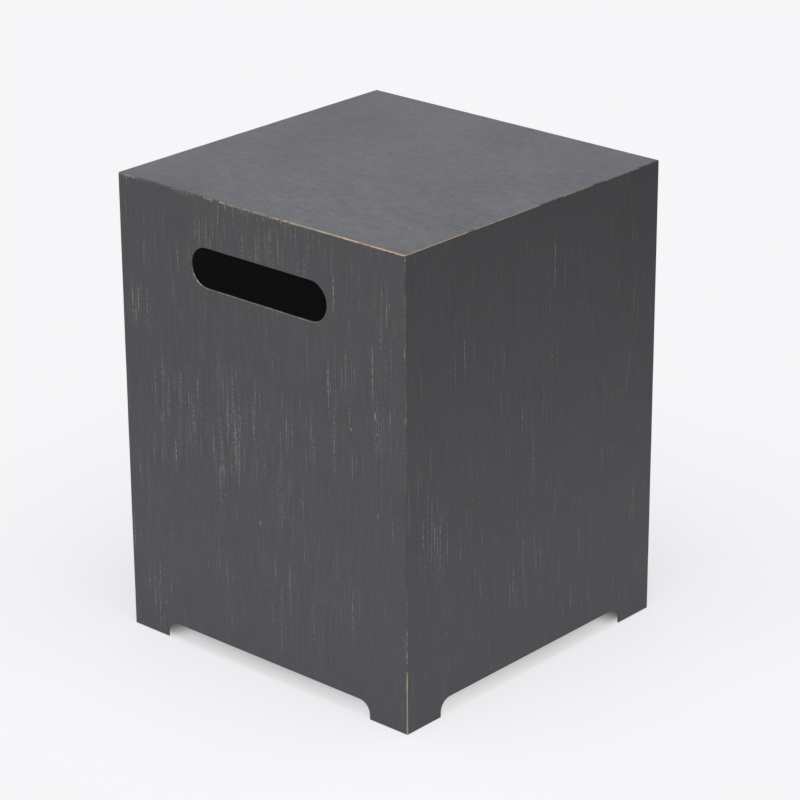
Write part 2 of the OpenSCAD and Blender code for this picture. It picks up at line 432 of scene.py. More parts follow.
# %% A section carried along a line
def rounded_line(corners, radii):
    """Closed line through corners, each replaced by a curve that begins its radius away.

    With u and v the directions from a corner to the ones before and after it, the curve is
    corner + r(1 - sin a)u + r(1 - cos a)v, an arc of radius r where the corner is square.
    """
    corners = np.array(corners, float)
    u = np.roll(corners, 1, axis=0) - corners
    v = np.roll(corners, -1, axis=0) - corners
    u, v = (way / np.linalg.norm(way, axis=1, keepdims=True) for way in (u, v))
    reach = np.array(radii)[:, None, None]
    along_u = reach * (1 - np.sin(ROUND))[None, :, None] * u[:, None]
    along_v = reach * (1 - np.cos(ROUND))[None, :, None] * v[:, None]
    return (corners[:, None] + along_u + along_v).reshape(-1, 2)


def inset(line, distance):
    """Closed line moved to its left: a point between edges with normals m and n moves along
    (m + n) / (1 + m.n)."""
    edge = np.roll(line, -1, axis=0) - line
    edge = edge / np.linalg.norm(edge, axis=1, keepdims=True)
    normal = np.stack([-edge[:, 1], edge[:, 0]], axis=-1)
    before = np.roll(normal, 1, axis=0)
    return line + distance * (normal + before) / (1 + (normal * before).sum(1, keepdims=True))


def bar(section, length):
    """Skin of a bar along +Z, drawn in at both ends by a quarter round, and its two end caps."""
    rings = np.stack([inset(section, DEBURR * (1 - math.sin(angle))) for angle in ROUND])
    level = np.broadcast_to(DEBURR * (1 - np.cos(ROUND))[:, None, None], (*rings.shape[:2], 1))
    start = np.concatenate([rings, level], axis=-1)
    end = np.concatenate([rings, length - level], axis=-1)[::-1]
    skin = np.concatenate([start, end])
    return np.append(skin, skin[:, :1], axis=1), [start[0], end[-1]]


def bar_piece(node, kind, section, length, place):
    """Makes a bar, puts it in place, and shows it instead of its CAD node."""
    skin, caps = bar(section, length)
    mesh = closed_mesh(f"{node}_{kind}", [place(skin)], [place(cap) for cap in caps])
    return piece_of(mesh, [node])


# %% Make the uprights and the top bars
CORNERS = ["front_left", "front_right", "back_right", "back_left"]
CORNER_AT = np.array([[-1, -1], [1, -1], [1, 1], [-1, 1]]) * [IN_X, IN_Y]
BAR_T = 2 * MM
BEND_IN = 1 * MM
BAR_GAP = 0.5 * MM
BAR_RUN = IN_X - BAR_W - BAR_GAP
ANGLE_SECTION = rounded_line(
    [(0, 0), (BAR_W, 0), (BAR_W, BAR_T), (BAR_T, BAR_T), (BAR_T, BAR_W), (0, BAR_W)],
    [BAR_T + BEND_IN, DEBURR, DEBURR, BEND_IN, DEBURR, DEBURR],
)


def at_corner(points, turns):
    """Moves points drawn from an inner corner of the box, with walls along +X and +Y, to it."""
    return quarter_turn(points, turns) + [*CORNER_AT[turns], 0]


def under_top(points, turns):
    """Lays a bar drawn along +Z against the top, its first leg down the wall."""
    down, inwards, along = np.moveaxis(points, -1, 0)
    laid = np.stack([along - BAR_RUN, inwards - IN_Y, SKIN_Z1 - down], axis=-1)
    return quarter_turn(laid, turns)


uprights = [
    bar_piece(f"upright_{corner}", "bar", ANGLE_SECTION, SKIN_Z1 - SKIN_Z0,
              lambda points, turns=turns: at_corner(points + [0, 0, SKIN_Z0], turns))
    for turns, corner in enumerate(CORNERS)
]
top_bars = [
    bar_piece(f"top_bar_{side}", "angle", ANGLE_SECTION, 2 * BAR_RUN,
              lambda points, turns=turns: under_top(points, turns))
    for turns, side in enumerate(SIDES)
]

# %% Make the brace
BRACE_T = 1.2 * MM
BRACE_WEB = 18 * MM
BRACE_H = 14 * MM
BRACE_IN = BRACE_WEB - BRACE_T
BRACE_BEND = 1 * MM
outer_half = [(BRACE_WEB, -BRACE_H), (BRACE_WEB, -BRACE_T), (BRACE_HALF_W, -BRACE_T)]
inner_half = [(BRACE_HALF_W, 0), (BRACE_IN, 0), (BRACE_IN, BRACE_T - BRACE_H)]
half_radii = [BRACE_BEND + BRACE_T, BRACE_BEND, DEBURR, DEBURR, BRACE_BEND + BRACE_T, BRACE_BEND]
right_half = outer_half + inner_half
left_half = [(-across, up) for across, up in right_half[::-1]]
BRACE_SECTION = rounded_line(right_half + left_half, half_radii + half_radii[::-1])


def across_top(points):
    """Lays the brace, drawn along +Z, from left to right under the top."""
    across, up, along = np.moveaxis(points, -1, 0)
    return np.stack([along - BAR_RUN, across, SKIN_Z1 + up], axis=-1)


brace = bar_piece("top_brace", "channel", BRACE_SECTION, 2 * BAR_RUN, across_top)

# %% [markdown]
# ## Foot plates and glides
# A square plate with a hole is welded between the legs of each upright, and a nylon glide is
# pushed up into the hole, where its barb holds it. The plate's section goes all the way round:
# over its outer edge, along below, up through the bore and back. The glide is turned: a line
# from its sole to its tip, carried round an axis.

# %% Make the foot plates
PLATE_W = 32 * MM
PLATE_T = 3 * MM
PLATE_R = 3 * MM
PLATE_MID = BAR_T + PLATE_W / 2
BORE_R = 4.1 * MM
HEAD_H = 4 * MM
MID_SIDE = 9 * MM


def plate_grid():
    """Square plate round a bore, as one grid closed both ways, its lower face at height 0."""
    half = PLATE_W / 2
    ways = [(-1, -1), (0, -1), (1, -1), (1, 0), (1, 1), (0, 1), (-1, 1), (-1, 0)]
    outline = rounded_line([(half * x, half * y) for x, y in ways], [PLATE_R, MID_SIDE] * 4)
    bore = outline / np.linalg.norm(outline, axis=1, keepdims=True)
    outer = [inset(outline, DEBURR * (1 - math.sin(angle))) for angle in ROUND]
    inner = [bore * (BORE_R + DEBURR * (1 - math.sin(angle))) for angle in ROUND]
    level = (DEBURR * (1 - np.cos(ROUND))).tolist()
    upper = [PLATE_T - up for up in level]
    low = upper + level[::-1] + level + upper[::-1]
    rows = outer + outer[::-1] + inner + inner[::-1]
    grid = np.stack([np.column_stack([row, np.full(len(row), up)]) for row, up in zip(rows, low)])
    grid = np.append(grid, grid[:1], axis=0)
    return np.append(grid, grid[:, :1], axis=1)


def at_foot(points, turns, height):
    """Moves points drawn round the middle of a foot plate to corner number turns."""
    return at_corner(points + [PLATE_MID, PLATE_MID, height], turns)


foot_plates = [
    piece_of(closed_mesh(f"foot_plate_{corner}_steel", [at_foot(plate_grid(), turns, HEAD_H)]),
             [f"foot_plate_{corner}"])
    for turns, corner in enumerate(CORNERS)
]

# %% Make the glides
HEAD_R = 11 * MM
STEM_R = 4 * MM
BARB_R = 4.6 * MM
PLATE_TOP = HEAD_H + PLATE_T
TIP_Z = PLATE_TOP + 5 * MM
DISH_R = 3.2 * MM
DISH = 0.5 * MM
GATE_R = 1.2 * MM
GATE = 0.25 * MM
LATHE_STEPS = 48
GLIDE_LINE = rounded_line(
    [(0, DISH - GATE), (GATE_R, DISH - GATE), (GATE_R, DISH), (DISH_R, DISH), (DISH_R, 0),
     (HEAD_R, 0), (HEAD_R, HEAD_H), (STEM_R, HEAD_H), (STEM_R, PLATE_TOP), (BARB_R, PLATE_TOP),
     (STEM_R, TIP_Z), (0, TIP_Z)],
    [0, 0.1 * MM, 0.1 * MM, 0.2 * MM, 0.2 * MM, 1.5 * MM, 0.5 * MM, 0.2 * MM, 0.1 * MM, 0.15 * MM,
     0.8 * MM, 0],
)


def turned(line):
    """Carries a line of (radius, height) round the Z axis: (r cos a, r sin a, z)."""
    angle = np.linspace(0, 2 * math.pi, LATHE_STEPS + 1)[:, None]
    radius, height = line[:, 0], line[:, 1]
    return np.stack([radius * np.cos(angle), radius * np.sin(angle),
                     np.broadcast_to(height, (len(angle), len(height)))], axis=-1)


glides = [
    piece_of(closed_mesh(f"glide_{corner}_nylon", [at_foot(turned(GLIDE_LINE), turns, 0)]),
             [f"glide_{corner}"])
    for turns, corner in enumerate(CORNERS)
]

# %% [markdown]
# ## Weld beads
# The bars are stitched to the sheets with short fillet welds. A bead is laid puddle by puddle, so
# its face is slightly full and shows a crescent for every puddle. All beads are one grid with one
# more axis, the bead: its middle, the directions of its two legs and its length are arrays too.

# %% Where the welds lie
STITCH = 25 * MM
UPRIGHT_STITCHES = 4
BAR_STITCHES = 3
PLATE_BEAD = 2.5 * MM
X, Y, Z = np.eye(3)


def stitch_at(count, low, high):
    """Middles of stitches spread evenly between two ends."""
    return low + (high - low) * (np.arange(count) + 0.5) / count


def weld(middle, leg_a, leg_b, leg, length):
    """One bead: the middle of its root, its two legs as vectors, and half its length as one."""
    along = np.cross(leg_a, leg_b) * length / 2
    return np.array([middle, leg_a * leg, leg_b * leg, along])


def upright_welds():
    """Beads along both legs of an upright, drawn from its corner."""
    for height in stitch_at(UPRIGHT_STITCHES, ARCH_H + STITCH, SKIN_Z1 - BAR_W - STITCH):
        yield weld(BAR_W * X + height * Z, X, Y, BAR_T, STITCH)
        yield weld(BAR_W * Y + height * Z, X, Y, BAR_T, STITCH)


def foot_plate_welds():
    """Beads on a foot plate along both legs of its upright, drawn from their corner."""
    on_plate = BAR_T * (X + Y) + PLATE_TOP * Z
    yield weld(on_plate + PLATE_W / 2 * X, Y, Z, PLATE_BEAD, PLATE_W / 2)
    yield weld(on_plate + PLATE_W / 2 * Y, Z, X, PLATE_BEAD, PLATE_W / 2)


def top_bar_welds(turns):
    """Beads below a top bar's upright leg and beside its flat leg, clear of the brace's ends."""
    for along in stitch_at(BAR_STITCHES, -BAR_RUN, BAR_RUN):
        corner = along * X - IN_Y * Y + SKIN_Z1 * Z
        yield weld(corner - BAR_W * Z, Y, -Z, BAR_T, STITCH)
        if turns % 2 == 0 or abs(along) > BRACE_HALF_W + STITCH / 2:
            yield weld(corner + BAR_W * Y, Y, -Z, BAR_T, STITCH)


def brace_welds():
    """Beads beside both flanges of the brace."""
    for along in stitch_at(BAR_STITCHES, -BAR_RUN, BAR_RUN):
        for side in (1, -1):
            middle = along * X + side * BRACE_HALF_W * Y + SKIN_Z1 * Z
            yield weld(middle, side * Y, -Z, BRACE_T, STITCH)


def at_turn(welds, turns, move):
    """Turns welds by quarter turns, and moves their middles but not their directions."""
    made = quarter_turn(np.array(list(welds)), turns)
    made[:, 0] += move
    return made


WELDS = np.concatenate(
    [at_turn(upright_welds(), turns, [*CORNER_AT[turns], 0]) for turns in range(4)]
    + [at_turn(foot_plate_welds(), turns, [*CORNER_AT[turns], 0]) for turns in range(4)]
    + [at_turn(top_bar_welds(turns), turns, 0) for turns in range(4)]
    + [np.array(list(brace_welds()))]
)
print("welds:", len(WELDS))

# %% Make the weld beads
BEAD_ROWS = 72
BEAD_STEPS = 6
PUDDLE = 1.7 * MM
RIPPLE = 0.09
CRESCENT = 0.35
FULLNESS = 0.45


def bead_grids(welds):
    """Skin of every bead at once, as (bead, row, step, 3).

    At an angle a from the first leg, the face is 1 / (cos a + sin a) from the root where it is
    flat and 1 where it is round, here a mix of both. Ripples follow a cosine of the distance
    along, bent by sin 2a into crescents, and both ends are rounded off over a leg's length.
    """
    middle, leg_a, leg_b, along = (welds[:, k, None, None] for k in range(4))
    half = np.linalg.norm(along, axis=-1)
    leg = np.linalg.norm(leg_a, axis=-1)
    share = np.sin(np.linspace(-1, 1, BEAD_ROWS + 1) * math.pi / 2)[None, :, None]
    angle = np.linspace(0, math.pi / 2, BEAD_STEPS + 1)[None, None, :]
    flat = 1 / (np.cos(angle) + np.sin(angle))
    crescent = (share * half + CRESCENT * PUDDLE * np.sin(2 * angle)) / PUDDLE
    ripple = 1 - RIPPLE * (0.5 + 0.5 * np.cos(2 * math.pi * crescent))
    past = np.clip((np.abs(share * half) - half + leg) / leg, 0, 1)
    reach = (flat + (1 - flat) * FULLNESS) * ripple * np.sqrt(1 - past ** 2)
    face = (reach * np.cos(angle))[..., None] * leg_a + (reach * np.sin(angle))[..., None] * leg_b
    root = middle + share[..., None] * along
    face = face + root
    root = np.broadcast_to(root, (*face.shape[:2], 1, 3))
    return np.concatenate([root, face, root], axis=2)


weld_beads = piece_of(closed_mesh("weld_beads", list(bead_grids(WELDS))), ["weld_stitches"])

# %% [markdown]
# ## Shader maths as Python
# A finish is a net of nodes, and the maths in it is written as plain expressions: a Signal stands
# for a number that changes over the surface, and each operator on it adds a Math node. Every
# other node comes from one method, so a material reads as a recipe.

# %% Signals
class Signal:
    """A socket that carries a number over a surface. Operators on it add Math nodes."""

    def __init__(self, net, socket):
        self.net = net
        self.socket = socket

    def math(self, operation, *values):
        node = self.net.node("ShaderNodeMath", {"operation": operation}, dict(enumerate(values)))
        return Signal(self.net, node.outputs[0])

    def __add__(self, other):
        return self.math("ADD", self, other)

    def __sub__(self, other):
        return self.math("SUBTRACT", self, other)

    def __rsub__(self, other):
        return self.math("SUBTRACT", other, self)

    def __mul__(self, other):
        return self.math("MULTIPLY", self, other)

    def __truediv__(self, other):
        return self.math("DIVIDE", self, other)

    def __abs__(self):
        return self.math("ABSOLUTE", self)

    __radd__ = __add__
    __rmul__ = __mul__

    def squared(self):
        return self * self

    def root(self):
        return self.math("SQRT", self)

    def least(self, other):
        return self.math("MINIMUM", self, other)

    def most(self, other):
        return self.math("MAXIMUM", self, other)

    def rise(self, low, high):
        """Smooth step from 0 at low to 1 at high."""
        node = self.net.node("ShaderNodeMapRange", {"interpolation_type": "SMOOTHSTEP"},
                             {"Value": self, "From Min": low, "From Max": high})
        return Signal(self.net, node.outputs[0])


# %% Nets of nodes
class Net:
    """The nodes of a material or a world."""

    def __init__(self, owner):
        owner.use_nodes = True
        self.tree = owner.node_tree
        self.tree.nodes.clear()

    def node(self, kind, settings, values):
        """Adds a node, sets its settings, then sets or links its sockets."""
        node = self.tree.nodes.new(kind)
        for name, value in settings.items():
            setattr(node, name, value)
        for key, value in values.items():
            value = value.socket if isinstance(value, Signal) else value
            if isinstance(value, bpy.types.NodeSocket):
                self.tree.links.new(value, node.inputs[key])
            else:
                node.inputs[key].default_value = value
        return node

    def rays(self, *kinds):
        """Signals that are 1 where a kind of ray arrives, and 0 for the others."""
        path = self.node("ShaderNodeLightPath", {}, {})
        return [Signal(self, path.outputs[kind]) for kind in kinds]


# %% Finishes
class Finish(Net):
    """A material, its principled shader, and the place on the piece in Object coordinates."""

    def __init__(self, name, constants):
        self.material = bpy.data.materials.new(name)
        super().__init__(self.material)
        self.shader = self.node("ShaderNodeBsdfPrincipled", {}, constants)
        self.output = self.node("ShaderNodeOutputMaterial", {}, {0: self.shader.outputs[0]})
        self.place = self.node("ShaderNodeTexCoord", {}, {}).outputs["Object"]
        parts = self.node("ShaderNodeSeparateXYZ", {}, {0: self.place})
        self.x, self.y, self.z = (Signal(self, socket) for socket in parts.outputs)

    def noise(self, stretch, detail=2.0, roughness=0.5, shift=0.0):
        """Noise from 0 to 1 with a number of waves per metre along each axis."""
        scaled = self.node("ShaderNodeVectorMath", {"operation": "MULTIPLY_ADD"},
                           {0: self.place, 1: stretch, 2: (shift, shift, shift)})
        noise = self.node("ShaderNodeTexNoise", {}, {
            "Vector": scaled.outputs[0], "Scale": 1.0, "Detail": detail, "Roughness": roughness})
        return Signal(self, noise.outputs[0])

    def join(self, *numbers):
        """Vector of three numbers."""
        return self.node("ShaderNodeCombineXYZ", {}, dict(enumerate(numbers))).outputs[0]

    def marks(self, flat, places):
        """Largest of some ellipses: strength times 1 less the squares of distance over half size.

        The third distance is twice the difference between the numbers of the two faces, so that a
        mark only shows on its own face.
        """
        total = None
        for face, x, y, half_x, half_y, strength in places:
            scaled = self.node("ShaderNodeVectorMath", {"operation": "MULTIPLY_ADD"}, {
                0: flat, 1: (1 / half_x, 1 / half_y, 2), 2: (-x / half_x, -y / half_y, -2 * face)})
            square = self.node("ShaderNodeVectorMath", {"operation": "DOT_PRODUCT"}, {
                0: scaled.outputs[0], 1: scaled.outputs[0]})
            far = Signal(self, square.outputs["Value"])
            mark = far.math("MULTIPLY_ADD", far, -strength, strength)
            total = mark if total is None else total.most(mark)
        return total.most(0.0)

    def steps(self, along, low, high, places):
        """Strength that steps from one value to the next at given places."""
        ramp = self.node("ShaderNodeValToRGB", {}, {0: (along - low) / (high - low)})
        ramp.color_ramp.interpolation = "CONSTANT"
        stops = ramp.color_ramp.elements
        while len(stops) < len(places):
            stops.new(1.0)
        for stop, (place, strength) in zip(stops, places):
            stop.position = (place - low) / (high - low)
            stop.color = (strength, strength, strength, 1.0)
        return Signal(self, ramp.outputs[0])

    def mix(self, share, colour_a, colour_b):
        """Colour between two colours."""
        node = self.node("ShaderNodeMix", {"data_type": "RGBA"}, {
            0: share, 6: colour_a, 7: colour_b})
        return node.outputs[2]

    def scale_colour(self, colour, amount):
        """Colour times a number."""
        node = self.node("ShaderNodeVectorMath", {"operation": "SCALE"}, {0: colour, 3: amount})
        return node.outputs[0]

    def feed(self, name, value):
        """Links a socket of the shader."""
        value = value.socket if isinstance(value, Signal) else value
        self.tree.links.new(value, self.shader.inputs[name])

    def bump(self, height, depth):
        """Feeds the shader's normal with a height from 0 to 1, which is worth depth metres."""
        node = self.node("ShaderNodeBump", {}, {
            "Height": height, "Distance": depth, "Strength": 1.0})
        self.feed("Normal", node.outputs[0])


# %% [markdown]
# ## Distressed paint
# The holder is sprayed bronze, then covered with a dark grey paint that is dragged on with a dry
# brush, down the walls and along the top. Where the bristles skip, broken threads of bronze show.
# An image of a real wall would give this too, but only from one side and at one size. So the
# strokes are noise stretched along the brush, and the places where much bronze shows are listed.
# All of it hangs on where a point lies: on which face, how far from the edges, and how deep.

# %% Places on the box
PAINT_IOR = 1.5
TOP_SHORTER = 4.0
PAINT_ENDS = (1.1 * MM, 1.45 * MM)  # deep in the sheet, from its outer face


class Paint(Finish):
    """Finish that knows which face of the box it is on, and how the brush ran there."""

    def __init__(self, name, on_top):
        super().__init__(name, {"IOR": PAINT_IOR})
        self.on_top = on_top
        from_x = HALF_W - abs(self.x)
        from_y = HALF_D - abs(self.y)
        self.from_top = HEIGHT - self.z
        self.near_wall = from_x.least(from_y)
        self.far_wall = from_x.most(from_y)
        self.inside = self.near_wall.least(self.from_top).rise(*PAINT_ENDS)
        self.on_side = (from_y - from_x).rise(-0.1 * MM, 0.1 * MM)
        self.on_front = 1.0 - self.on_side
        self.unseen = 1.0 - (self.x - self.y).rise(-MM, MM)

    def strokes(self, across, along, **settings):
        """Noise stretched along the brush, which ran down the walls and along X on the top."""
        if self.on_top:
            return self.noise((TOP_SHORTER * along, across, across), **settings)
        return self.noise((across, across, along), **settings)


# %% [markdown]
# The grey coat is a few layers of noise about a middle of 0, from clouds as wide as a hand to the
# grain of the paint. A sheet brushed along its length shows bristles, and the top, which lies flat
# while it dries, shows them less and mottles instead. So each has its own weights.

# %% The grey coat
GREY_WARM = (0.0512, 0.0512, 0.0532, 1.0)
GREY_COOL = (0.0485, 0.0485, 0.0565, 1.0)
WALL_TONE = {"cloud": 0.14, "broad": 0.12, "brush": 0.20, "hair": 0.80, "grain": 0.80}
WALL_SHINE = {"brush": 0.20, "hair": 0.16}
WALL_RELIEF = {"brush": 0.50, "hair": 0.50}
FRONT_HAIR = 0.20
TOP_TONE = {"cloud": 0.8, "mottle": 2.2, "brush": 0.30, "hair": 0.20, "grain": 1.2}
TOP_SHINE = {"mottle": 0.30, "brush": 0.06, "hair": 0.05}
TOP_RELIEF = {"mottle": 0.35, "brush": 0.20, "hair": 0.20, "grain": 0.50}


def weighted(layers, weights):
    """Sum of layers of noise, each times its weight."""
    first, *rest = [weight * layers[name] for name, weight in weights.items()]
    return sum(rest, first)


def grey_coat(made):
    """Colour, shine and relief of the grey coat."""
    layers = {
        "cloud": made.noise((7, 7, 7), detail=3.0) - 0.5,
        "brush": made.strokes(170, 7.0, detail=3.0, shift=5) - 0.5,
        "hair": made.strokes(600, 26, detail=2.0, shift=9) - 0.5,
        "grain": made.noise((560, 560, 330), detail=1.0, shift=13) - 0.5,
    }
    cool_tone_and_painted_light = made.noise((16, 16, 16), detail=3.0, shift=17).rise(0.3, 0.7)
    if made.on_top:
        layers["mottle"] = made.noise((70, 130, 130), detail=4.0, roughness=0.75, shift=27) - 0.5
        tone, shine, relief = (
            weighted(layers, weights) for weights in (TOP_TONE, TOP_SHINE, TOP_RELIEF))
    else:
        layers["broad"] = made.strokes(45, 3.0, detail=2.0, shift=2) - 0.5
        tone, shine, relief = (
            weighted(layers, weights) for weights in (WALL_TONE, WALL_SHINE, WALL_RELIEF))
        tone = tone + FRONT_HAIR * made.on_front * layers["hair"]
        # Painted light: the walls turn cooler in tone towards the floor, standing in for the cool
        # light that reaches their lower parts.
        cool_tone_and_painted_light = 0.5 * cool_tone_and_painted_light + 0.5 * (1.0 - made.z.rise(0.15, 0.42))
    grey = made.scale_colour(made.mix(cool_tone_and_painted_light, GREY_WARM, GREY_COOL), 1.0 + tone)
    return grey, shine, relief


# %% [markdown]
# Threads of bronze show where one more stretched noise rises above a limit, which is lower where
# the brush ran dry. Noise across them breaks them into dashes. Those that stand out on the real
# holder are added as marks.

# %% Where the brush ran dry
# A mark is an ellipse on the unrolled box: its face, its middle across and up, its half width and
# half height in metres, and a strength. The faces are numbered 0 for front and top, 1 for right.
DRY_WALLS = [
    (0, -0.060, 0.490, 0.036, 0.036, 1.0), (0, 0.040, 0.490, 0.110, 0.032, 1.0),
    (0, 0.104, 0.470, 0.012, 0.050, 0.8), (0, -0.175, 0.400, 0.022, 0.075, 0.7),
    (0, -0.140, 0.265, 0.030, 0.090, 1.0), (0, -0.098, 0.265, 0.020, 0.080, 0.9),
    (0, -0.050, 0.270, 0.040, 0.095, 1.0), (0, -0.005, 0.280, 0.016, 0.065, 0.9),
    (0, 0.034, 0.240, 0.024, 0.110, 0.8), (0, 0.062, 0.310, 0.018, 0.050, 0.9),
    (0, 0.100, 0.330, 0.014, 0.090, 0.9), (0, 0.122, 0.350, 0.014, 0.130, 0.8),
    (0, 0.168, 0.370, 0.024, 0.130, 1.0), (0, -0.155, 0.080, 0.034, 0.075, 1.0),
    (0, -0.050, 0.110, 0.024, 0.070, 0.8), (0, 0.024, 0.120, 0.020, 0.090, 0.8),
    (0, 0.125, 0.120, 0.030, 0.080, 0.6), (1, -0.160, 0.200, 0.032, 0.120, 0.8),
    (1, -0.110, 0.420, 0.028, 0.060, 0.6), (1, -0.045, 0.290, 0.014, 0.070, 0.5),
    (1, -0.002, 0.260, 0.012, 0.070, 0.6), (1, 0.022, 0.400, 0.014, 0.080, 0.6),
    (1, 0.090, 0.400, 0.016, 0.070, 0.5), (1, 0.155, 0.320, 0.016, 0.080, 0.6),
    (1, -0.030, 0.120, 0.060, 0.070, 0.5),
]
DRY_TOP = [
    (0, -0.040, -0.095, 0.080, 0.014, 1.0), (0, 0.000, -0.155, 0.090, 0.016, 0.9),
    (0, 0.020, -0.068, 0.050, 0.010, 0.8), (0, 0.110, -0.125, 0.040, 0.012, 0.7),
]

# %% Threads and flecks that stand out
# A thread is a mark as thin as one bristle.
THREADS = [
    (0, -0.0818, 0.482, 0.8 * MM, 0.020, 1.0), (0, -0.0625, 0.488, 0.5 * MM, 0.022, 0.8),
    (0, -0.0550, 0.492, 0.6 * MM, 0.015, 1.0), (0, 0.0165, 0.489, 0.5 * MM, 0.024, 0.6),
    (0, 0.1025, 0.487, 0.5 * MM, 0.027, 0.7), (0, -0.1190, 0.275, 0.5 * MM, 0.055, 0.6),
    (0, -0.0975, 0.258, 0.5 * MM, 0.042, 0.6), (0, -0.0590, 0.223, 0.5 * MM, 0.040, 0.6),
    (0, -0.0320, 0.263, 0.6 * MM, 0.050, 0.8), (0, 0.0435, 0.198, 0.5 * MM, 0.040, 0.5),
    (0, 0.0700, 0.300, 0.5 * MM, 0.042, 0.6), (0, 0.1055, 0.354, 0.5 * MM, 0.054, 0.5),
    (0, 0.1610, 0.328, 0.6 * MM, 0.040, 0.8), (0, 0.1810, 0.404, 0.5 * MM, 0.038, 0.5),
    (0, -0.1705, 0.162, 0.5 * MM, 0.060, 0.5), (0, 0.1250, 0.110, 0.5 * MM, 0.024, 0.6),
    (1, -0.1675, 0.218, 0.5 * MM, 0.055, 0.7), (1, -0.1535, 0.186, 0.5 * MM, 0.048, 0.8),
    (1, -0.1375, 0.190, 0.6 * MM, 0.023, 0.7), (1, -0.0015, 0.248, 0.6 * MM, 0.039, 0.9),
    (1, 0.0225, 0.408, 0.5 * MM, 0.054, 0.5), (1, -0.1350, 0.458, 0.5 * MM, 0.023, 0.5),
    (1, -0.1962, 0.250, 0.6 * MM, 0.040, 1.0),
]
# A fleck is a short dab of bare bronze.
FLECKS = [
    (0, 0.1590, 0.342, 1.3 * MM, 5.5 * MM, 1.0), (0, 0.1615, 0.234, 1.0 * MM, 5.0 * MM, 0.6),
    (0, 0.1265, 0.319, 1.4 * MM, 2.2 * MM, 1.0), (0, -0.0045, 0.178, 1.2 * MM, 3.5 * MM, 1.0),
    (0, -0.1470, 0.258, 1.0 * MM, 5.5 * MM, 0.7), (0, -0.0540, 0.195, 1.2 * MM, 1.6 * MM, 0.8),
    (0, -0.0590, 0.187, 1.0 * MM, 1.8 * MM, 0.6), (0, -0.0100, 0.470, 1.1 * MM, 1.6 * MM, 0.7),
    (0, -0.1500, 0.041, 1.0 * MM, 3.0 * MM, 0.6), (0, -0.1660, 0.064, 0.9 * MM, 4.0 * MM, 0.5),
    (0, 0.1985, 0.419, 1.0 * MM, 7.0 * MM, 0.8), (0, 0.1978, 0.346, 0.9 * MM, 4.0 * MM, 0.9),
    (1, 0.0265, 0.349, 1.6 * MM, 1.3 * MM, 0.8), (1, 0.1270, 0.216, 0.9 * MM, 4.0 * MM, 0.5),
    (1, -0.1400, 0.095, 0.9 * MM, 3.5 * MM, 0.5), (1, -0.1990, 0.348, 0.9 * MM, 5.0 * MM, 0.8),
]
FLECKS_TOP = [
    (0, 0.148, -0.135, 2.2 * MM, 1.3 * MM, 0.7), (0, 0.153, -0.141, 1.4 * MM, 1.2 * MM, 0.5),
]

# %% Threads of bronze
THREAD_PALE = (0.30, 0.290, 0.270, 1.0)
THREAD_WARM = (0.42, 0.32, 0.20, 1.0)
THREAD_LIMIT = 0.672
THREAD_SOFTNESS = 0.10
TOP_THREADS = 0.4
ABOVE_SLOT = (0.450, 0.475)


def bronze_threads(made):
    """Strength of the threads and their colour."""
    patches = made.strokes(12, 5, detail=2.0, shift=31)
    skips = made.strokes(560, 12, detail=1.5, roughness=0.6, shift=21)
    dashes = made.strokes(500, 380, detail=1.0, shift=41).rise(0.42, 0.58)
    if made.on_top:
        flat = made.join(made.x, made.y, 0.0)
        dry = made.marks(flat, DRY_TOP)
        single = 0.0
        flecks = made.marks(flat, FLECKS_TOP)
    else:
        across = made.x * made.on_front + made.y * made.on_side
        flat = made.join(across, made.z, made.on_side + 2.0 * made.unseen)
        dry = made.marks(flat, DRY_WALLS).most(made.unseen * patches.rise(0.5, 0.7))
        single = made.marks(flat, THREADS)
        flecks = made.marks(flat, FLECKS)
    limit = THREAD_LIMIT - 0.08 * (1.3 * dry).least(1.0) - 0.03 * patches.rise(0.35, 0.75)
    threads = ((skips - limit) / THREAD_SOFTNESS).most(single).least(1.0)
    threads = (threads * (0.06 + 0.94 * dashes)).most(flecks * (0.6 + 0.4 * dashes))
    warm = (0.4 * patches.rise(0.5, 0.7)).most(flecks)
    if made.on_top:
        threads = threads * TOP_THREADS
    else:
        above_slot = made.z.rise(*ABOVE_SLOT)
        threads = threads * (1.0 - 0.2 * above_slot)
        warm = warm.most(0.7 * above_slot)
    return threads, made.mix(warm, THREAD_PALE, THREAD_WARM)


# %% [markdown]
# Hands and the grinder wear the paint off the edges. Under the top's front edge the bare line is
# ragged and drips a little, and near the front right corner it is clean. Down the corner it comes
# and goes, and it is firm at the foot, where the holder is dragged. The slot's rim shows most
# bronze along its lower side.

# %% Wear along the edges that show
# Places from -0.2 m or, up the corner, from the floor, each with the strength from there on.
WORN_FRONT = [
    (-0.200, 0.4), (-0.172, 0.05), (-0.124, 0.2), (-0.090, 0.05), (-0.076, 0.4), (-0.061, 0.1),
    (-0.054, 0.5), (0.020, 0.7), (0.080, 1.0), (0.140, 0.75),
]
WORN_RIGHT = [
    (-0.200, 0.75), (-0.108, 0.2), (-0.098, 0.6), (0.003, 0.1), (0.040, 0.4), (0.088, 0.1),
    (0.106, 0.4), (0.165, 0.1),
]
WORN_CORNER = [
    (0.000, 0.75), (0.074, 0.2), (0.080, 0.6), (0.116, 0.25), (0.165, 0.05), (0.270, 0.25),
    (0.300, 0.15), (0.340, 0.3), (0.367, 0.1), (0.385, 0.25), (0.485, 0.1), (0.498, 0.4),
    (0.508, 0.1), (0.513, 0.9),
]

# %% Bare edges
BRONZE_DULL = (0.50, 0.40, 0.285, 1.0)
BRONZE_CLEAN = (0.74, 0.50, 0.28, 1.0)
DRIP_LENGTH = 45 * MM
FIRM_TOP = (0.062, 0.072)


